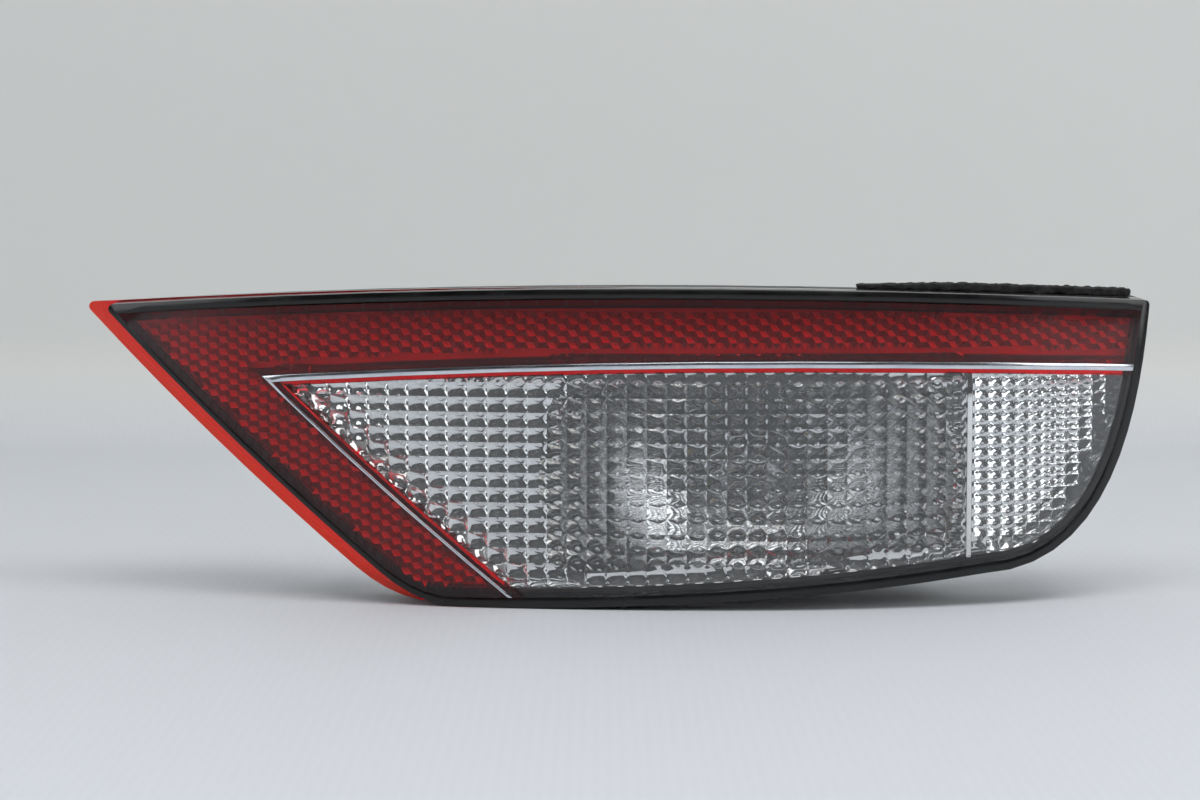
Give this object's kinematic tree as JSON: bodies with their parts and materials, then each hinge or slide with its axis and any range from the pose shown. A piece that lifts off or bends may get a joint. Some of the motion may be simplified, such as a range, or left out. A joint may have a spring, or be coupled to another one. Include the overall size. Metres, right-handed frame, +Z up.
{
  "type": "bumper reverse light",
  "caption": "Curved lamp for a rear bumper: clear reversing window with pillow optics inside a red reflex reflector band, on a moulded housing with a bulb holder.",
  "frame": {"origin": "middle of the bottom of the lamp's bounding box, on the surface it is stood on", "axes": "+X to the right seen from the lens side, along the bumper; +Y backwards into the bumper; +Z up"},
  "size_m": [0.3174, 0.086, 0.0942],
  "materials": {
    "red_lens": "transparent red acrylic, polished face over moulded prisms",
    "clear_lens": "clear acrylic, polished face over moulded pillow optics",
    "bright_trim": "bright hot-stamped foil",
    "gasket_rubber": "smooth black, slight sheen",
    "foam": "open-cell black foam, rough",
    "reflex_backing": "dark red-brown moulding, matt",
    "seal_bead": "extruded sealant",
    "reflector": "vacuum metallised plastic",
    "housing": "fine spark-eroded grain, black",
    "bulb_glass": "clear",
    "bulb_cap": "drawn, dull bright",
    "bulb_contact": "black insulator with solder",
    "bulb_filament": "drawn wire",
    "bulb_holder": "dark grey, satin moulded",
    "terminal": "tinned, stamped",
    "insert_brass": "turned and knurled",
    "screw_steel": "zinc plated",
    "spring_steel": "blued spring steel"
  },
  "bodies": {
    "root": {"red_lens": "red_lens", "clear_lens": "clear_lens", "bright_trim": "bright_trim", "perimeter_gasket": "gasket_rubber", "foam_strip": "foam", "reflex_backing": "reflex_backing", "seal_bead": "seal_bead", "reflector": "reflector", "housing": "housing", "bulb_glass": "bulb_glass", "bulb_cap": "bulb_cap", "bulb_contact": "bulb_contact", "bulb_filament": "bulb_filament", "bulb_holder": "bulb_holder", "holder_seal": "gasket_rubber", "terminal_live": "terminal", "terminal_earth": "terminal", "vent_cap": "gasket_rubber", "insert_left": "insert_brass", "insert_right": "insert_brass", "reflector_screw_left": "screw_steel", "reflector_screw_right": "screw_steel", "spring_clip": "spring_steel"}
  },
  "joints": []
}
